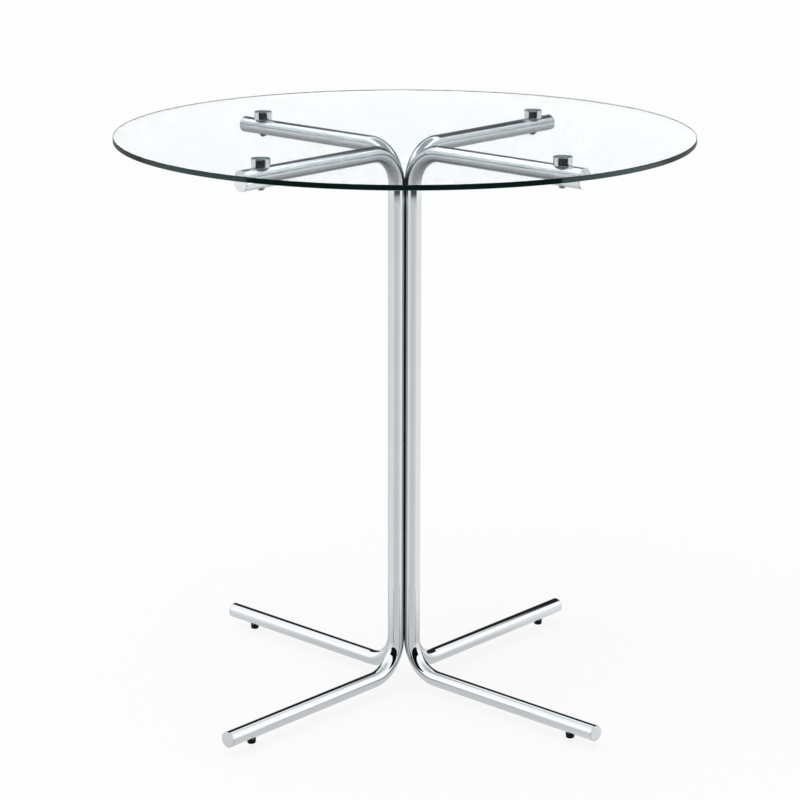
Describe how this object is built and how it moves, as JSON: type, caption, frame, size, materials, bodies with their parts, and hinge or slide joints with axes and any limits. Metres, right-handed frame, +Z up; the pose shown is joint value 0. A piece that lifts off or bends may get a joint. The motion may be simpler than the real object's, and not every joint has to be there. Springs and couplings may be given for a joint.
{
  "type": "bar table",
  "caption": "Counter-height bar table: a round clear glass top bonded to metal pucks on C-bent chromed tubes bundled into one post, with levelling feet.",
  "frame": {"origin": "on the floor, under the middle of the post", "axes": "+Z up along the post, the table's axis of symmetry; the arms and legs lie on the diagonals between X and Y; the picture looks roughly along +Y"},
  "size_m": [0.9, 0.9, 0.91],
  "materials": {
    "glass": "clear polished float glass, green-black at its edge",
    "chrome_tube": "bright chrome plate on bent steel tube",
    "chrome_cap": "bright chrome plate",
    "polished_puck": "turned and polished stainless steel",
    "screw_steel": "stainless steel, as machined",
    "zinc_steel": "bright zinc plate",
    "foot_nylon": "moulded black nylon"
  },
  "bodies": {
    "table": {"glass_top": "glass", "post_core_low": "zinc_steel", "post_core_middle": "zinc_steel", "post_core_high": "zinc_steel", "tube_front_right": "chrome_tube", "arm_cap_front_right": "chrome_cap", "leg_cap_front_right": "chrome_cap", "glass_puck_front_right": "polished_puck", "saddle_washer_front_right": "screw_steel", "puck_screw_front_right": "screw_steel", "foot_insert_front_right": "zinc_steel", "tube_back_right": "chrome_tube", "arm_cap_back_right": "chrome_cap", "leg_cap_back_right": "chrome_cap", "glass_puck_back_right": "polished_puck", "saddle_washer_back_right": "screw_steel", "puck_screw_back_right": "screw_steel", "foot_insert_back_right": "zinc_steel", "tube_back_left": "chrome_tube", "arm_cap_back_left": "chrome_cap", "leg_cap_back_left": "chrome_cap", "glass_puck_back_left": "polished_puck", "saddle_washer_back_left": "screw_steel", "puck_screw_back_left": "screw_steel", "foot_insert_back_left": "zinc_steel", "tube_front_left": "chrome_tube", "arm_cap_front_left": "chrome_cap", "leg_cap_front_left": "chrome_cap", "glass_puck_front_left": "polished_puck", "saddle_washer_front_left": "screw_steel", "puck_screw_front_left": "screw_steel", "foot_insert_front_left": "zinc_steel"},
    "foot_front_right": {"foot_pad_front_right": "foot_nylon", "foot_stud_front_right": "zinc_steel"},
    "foot_back_right": {"foot_pad_back_right": "foot_nylon", "foot_stud_back_right": "zinc_steel"},
    "foot_back_left": {"foot_pad_back_left": "foot_nylon", "foot_stud_back_left": "zinc_steel"},
    "foot_front_left": {"foot_pad_front_left": "foot_nylon", "foot_stud_front_left": "zinc_steel"}
  },
  "joints": [
    {"name": "foot_front_right_level", "type": "slide", "parent": "table", "child": "foot_front_right", "axis": [0, 0, -1], "range_m": [0, 0.008]},
    {"name": "foot_back_right_level", "type": "slide", "parent": "table", "child": "foot_back_right", "axis": [0, 0, -1], "range_m": [0, 0.008]},
    {"name": "foot_back_left_level", "type": "slide", "parent": "table", "child": "foot_back_left", "axis": [0, 0, -1], "range_m": [0, 0.008]},
    {"name": "foot_front_left_level", "type": "slide", "parent": "table", "child": "foot_front_left", "axis": [0, 0, -1], "range_m": [0, 0.008]}
  ]
}
